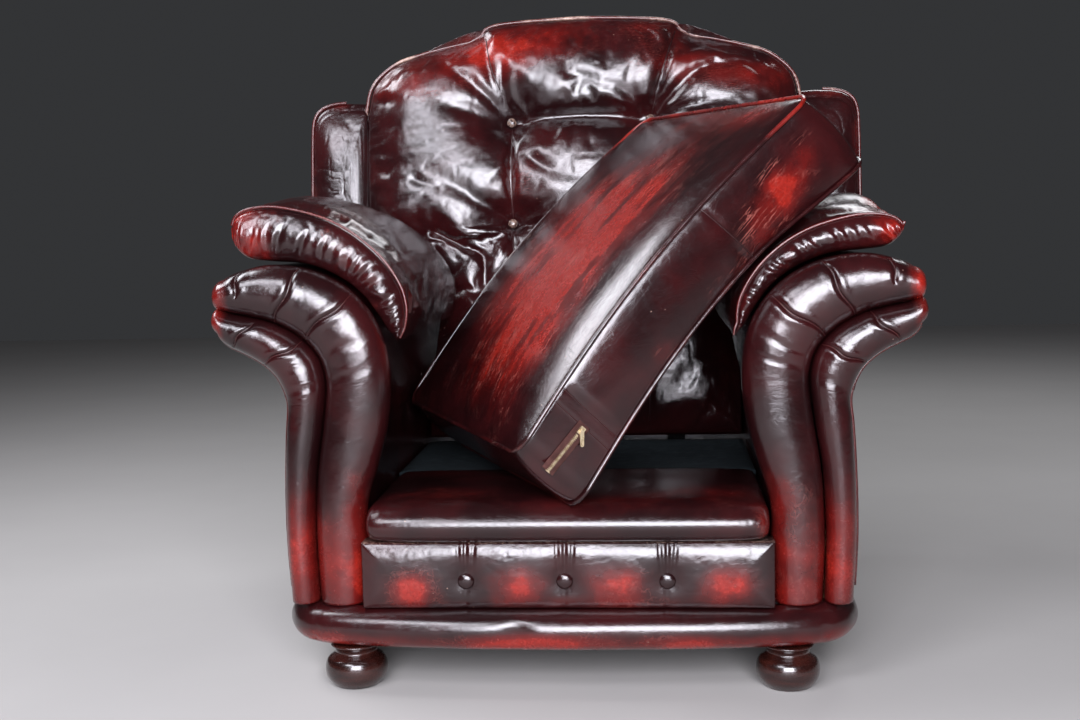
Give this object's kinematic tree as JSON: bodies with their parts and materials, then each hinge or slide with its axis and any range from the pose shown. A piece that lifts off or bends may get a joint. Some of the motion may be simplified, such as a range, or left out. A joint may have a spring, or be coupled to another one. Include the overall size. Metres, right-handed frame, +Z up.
{
  "type": "club chair",
  "caption": "Worn leather club chair with rolled arms, arm pillows, a buttoned stepped back, bun feet and a loose seat cushion leaning across the seat; the cushion's zip slides.",
  "frame": {"origin": "centre of the chair's footprint box on the floor", "axes": "+Z up, +Y towards the back, +X to the right seen from the front"},
  "size_m": [0.992, 0.9217, 1.0171],
  "materials": {
    "leather_dark": "glossy oxblood leather, almost black brown, creased and finely scratched",
    "leather_rubbed": "oxblood leather with its dark top colour rubbed through to red, glossy, scuffed",
    "piping_leather": "thin worn leather over a cord, rubbed pale in places",
    "platform_cloth": "matt black platform cloth",
    "dust_cloth": "thin matt black cloth",
    "mahogany": "dark mahogany stain under gloss varnish",
    "beech": "bare planed hardwood",
    "spring_steel": "drawn spring wire",
    "zip_brass": "tarnished brass, rubbed bright on its edges",
    "zip_tape": "woven tape with a row of metal teeth"
  },
  "bodies": {
    "chair": {"foot_front_left": "mahogany", "corner_block_front_left": "beech", "foot_front_right": "mahogany", "corner_block_front_right": "beech", "foot_rear_left": "mahogany", "corner_block_rear_left": "beech", "foot_rear_right": "mahogany", "corner_block_rear_right": "beech", "base_roll": "leather_rubbed", "rail_front": "beech", "rail_rear": "beech", "rail_left": "beech", "rail_right": "beech", "back_stile_left": "beech", "back_stile_right": "beech", "back_top_rail": "beech", "dust_cover": "dust_cloth", "seat_spring_1": "spring_steel", "seat_spring_2": "spring_steel", "seat_spring_3": "spring_steel", "seat_spring_4": "spring_steel", "seat_lip": "leather_dark", "seat_platform": "platform_cloth", "front_panel": "leather_rubbed", "front_button_left": "leather_dark", "front_button_middle": "leather_dark", "front_button_right": "leather_dark", "arm_front_roll_left": "leather_dark", "arm_outer_roll_left": "leather_rubbed", "arm_inside_left": "leather_dark", "arm_outside_left": "leather_dark", "arm_post_front_left": "beech", "arm_post_rear_left": "beech", "arm_top_rail_left": "beech", "arm_pillow_left": "leather_dark", "arm_pillow_piping_left": "piping_leather", "wing_left": "leather_dark", "back_button_upper_left": "leather_dark", "back_button_lower_left": "leather_dark", "arm_front_roll_right": "leather_dark", "arm_outer_roll_right": "leather_rubbed", "arm_inside_right": "leather_dark", "arm_outside_right": "leather_dark", "arm_post_front_right": "beech", "arm_post_rear_right": "beech", "arm_top_rail_right": "beech", "arm_pillow_right": "leather_dark", "arm_pillow_piping_right": "piping_leather", "wing_right": "leather_dark", "back_button_upper_right": "leather_dark", "back_button_lower_right": "leather_dark", "back_pad": "leather_dark", "back_pad_piping": "piping_leather", "outside_back": "leather_dark", "seat_cushion": "leather_rubbed", "cushion_piping_upper": "piping_leather", "cushion_piping_lower": "piping_leather", "zip_tape": "zip_tape"},
    "zip_slider": {"zip_slider": "zip_brass"},
    "zip_pull": {"zip_pull": "zip_brass"}
  },
  "joints": [
    {"name": "zip_slide", "type": "slide", "parent": "chair", "child": "zip_slider", "axis": [-0.6259, -0.2749, -0.7299], "range_m": [0, 0.05]},
    {"name": "pull_swing", "type": "hinge", "parent": "zip_slider", "child": "zip_pull", "pos_m": [0.02753, -0.42388, 0.37039], "axis": [0.4199, -0.9074, -0.0183], "range_deg": [-65, 65]}
  ]
}
